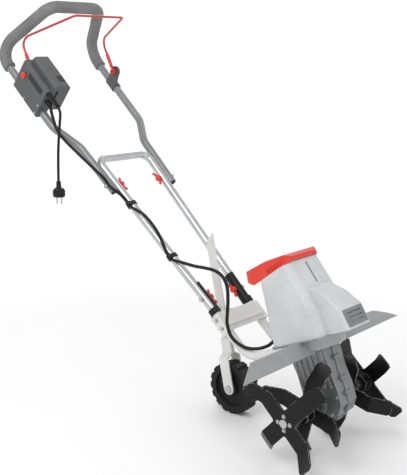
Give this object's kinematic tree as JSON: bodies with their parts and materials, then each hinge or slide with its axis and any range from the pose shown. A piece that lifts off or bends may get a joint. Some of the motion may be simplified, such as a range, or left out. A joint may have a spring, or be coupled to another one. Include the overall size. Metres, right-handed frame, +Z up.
{
  "type": "tiller",
  "caption": "Electric garden tiller: tine stars on a cross shaft under a wide guard, a leaning motor hood with a red cap, a wheel on a sliding bar and a folding handle with a switch bar.",
  "frame": {"origin": "centre of the foot of the box round the machine without its supply cord and plug, on the ground", "axes": "+X the way it travels when tilling, +Y its left side, +Z up"},
  "size_m": [1.114, 0.612, 1.0367],
  "materials": {
    "foam": "soft closed-cell foam, fine pores",
    "satin_tube": "satin grey paint on steel tube",
    "bright_tube": "bright plated steel tube",
    "dark_plastic": "fine grained moulding",
    "black_plastic": "satin black moulding",
    "red_plastic": "half gloss",
    "red_coated": "gloss red coating on wire",
    "hood_plastic": "light grey moulding, half matt",
    "guard_metal": "silver grey coated sheet",
    "frame_paint": "off-white powder coat",
    "gear_alloy": "sand-cast and tumbled",
    "tine_steel": "black coated, soil-worn edges",
    "steel": "plain turned steel",
    "brass": "machined bronze wheel",
    "tyre": "solid black wheel",
    "cable": "smooth black sheath"
  },
  "bodies": {
    "chassis": {"motor_cable_lower": "cable", "cable_clip_upper": "black_plastic", "cable_clip_lower": "black_plastic", "middle_tube": "bright_tube", "clamp_bolt_upper_right": "steel", "clamp_bolt_upper_left": "steel", "clamp_bolt_lower_right": "steel", "clamp_bolt_lower_left": "steel", "tube_sleeve_right": "black_plastic", "tube_sleeve_left": "black_plastic", "frame_tube_right": "frame_paint", "frame_tube_left": "frame_paint", "cross_channel": "frame_paint", "motor_housing": "hood_plastic", "top_cap": "red_plastic", "vent_insert": "dark_plastic", "base_plate": "steel", "tine_guard": "guard_metal", "motor_stator": "steel", "motor_bearing_upper": "steel", "motor_bearing_lower": "steel", "gearbox_right": "gear_alloy", "gearbox_left": "gear_alloy", "shaft_bearing_right": "steel", "shaft_bearing_left": "steel"},
    "upper_handle": {"upper_tube": "satin_tube", "foam_grip": "foam", "switch_box_outer": "dark_plastic", "switch_box_inner": "dark_plastic", "microswitch": "black_plastic", "bail_bracket": "dark_plastic", "cord_boot": "black_plastic", "cable_boot": "black_plastic", "supply_cord": "cable", "plug_body": "black_plastic", "plug_pin_1": "steel", "plug_pin_2": "steel", "motor_cable_upper": "cable"},
    "squeeze_bar": {"bail_rod": "red_coated", "bail_sleeve_right": "red_plastic", "bail_sleeve_left": "red_plastic"},
    "lock_button": {"lock_button": "red_plastic"},
    "knob_upper_right": {"wing_knob_upper_right": "red_plastic"},
    "knob_upper_left": {"wing_knob_upper_left": "red_plastic"},
    "knob_lower_right": {"wing_knob_lower_right": "red_plastic"},
    "knob_lower_left": {"wing_knob_lower_left": "red_plastic"},
    "wheel_bar": {"wheel_strut": "frame_paint", "fork_plate_right": "frame_paint", "fork_plate_left": "frame_paint", "wheel_axle": "steel"},
    "bar_screw": {"strut_screw": "black_plastic"},
    "wheel": {"wheel": "tyre"},
    "tines": {"tine_shaft": "steel", "worm_wheel": "brass", "tine_star_outer_right": "tine_steel", "tine_star_inner_right": "tine_steel", "tine_star_inner_left": "tine_steel", "tine_star_outer_left": "tine_steel"},
    "rotor": {"motor_rotor": "steel", "cooling_fan": "black_plastic"}
  },
  "joints": [
    {"name": "handle_fold", "type": "hinge", "parent": "chassis", "child": "upper_handle", "pos_m": [-0.17337, 0, 0.56097], "axis": [0, 1, 0], "range_deg": [0, 120]},
    {"name": "bar_squeeze", "type": "hinge", "parent": "upper_handle", "child": "squeeze_bar", "pos_m": [-0.43737, 0, 0.84433], "axis": [0, -1, 0], "range_deg": [0, 20], "stiffness_Nm_per_rad": 2, "springref_deg": -28.65},
    {"name": "lock_press", "type": "slide", "parent": "upper_handle", "child": "lock_button", "axis": [0, 1, 0], "range_m": [0, 0.004], "stiffness_N_per_m": 400, "springref_m": -0.005},
    {"name": "knob_upper_right_turn", "type": "hinge", "parent": "chassis", "child": "knob_upper_right", "pos_m": [-0.17337, -0.069, 0.56097], "axis": [0, -1, 0], "continuous": true},
    {"name": "knob_upper_left_turn", "type": "hinge", "parent": "chassis", "child": "knob_upper_left", "pos_m": [-0.17337, 0.069, 0.56097], "axis": [0, 1, 0], "continuous": true},
    {"name": "knob_lower_right_turn", "type": "hinge", "parent": "chassis", "child": "knob_lower_right", "pos_m": [0.12186, -0.04814, 0.30614], "axis": [0, -1, 0], "continuous": true},
    {"name": "knob_lower_left_turn", "type": "hinge", "parent": "chassis", "child": "knob_lower_left", "pos_m": [0.12186, 0.04814, 0.30614], "axis": [0, 1, 0], "continuous": true},
    {"name": "bar_height", "type": "slide", "parent": "chassis", "child": "wheel_bar", "axis": [-0.225, 0, 0.9744], "range_m": [-0.12, 0.02]},
    {"name": "bar_screw_turn", "type": "hinge", "parent": "chassis", "child": "bar_screw", "pos_m": [0.10196, 0, 0.23384], "axis": [-0.9744, 0, -0.225], "continuous": true},
    {"name": "wheel_spin", "type": "hinge", "parent": "wheel_bar", "child": "wheel", "pos_m": [0.16614, 0, 0.067], "axis": [0, 1, 0], "continuous": true},
    {"name": "tine_spin", "type": "hinge", "parent": "chassis", "child": "tines", "pos_m": [0.44514, 0, 0.11254], "axis": [0, 1, 0], "continuous": true},
    {"name": "rotor_spin", "type": "hinge", "parent": "chassis", "child": "rotor", "pos_m": [0.39645, 0, 0.30914], "axis": [-0.3907, 0, 0.9205], "continuous": true}
  ],
  "couplings": [
    {"joint": "rotor_spin", "follows": "tine_spin", "ratio": 24}
  ]
}
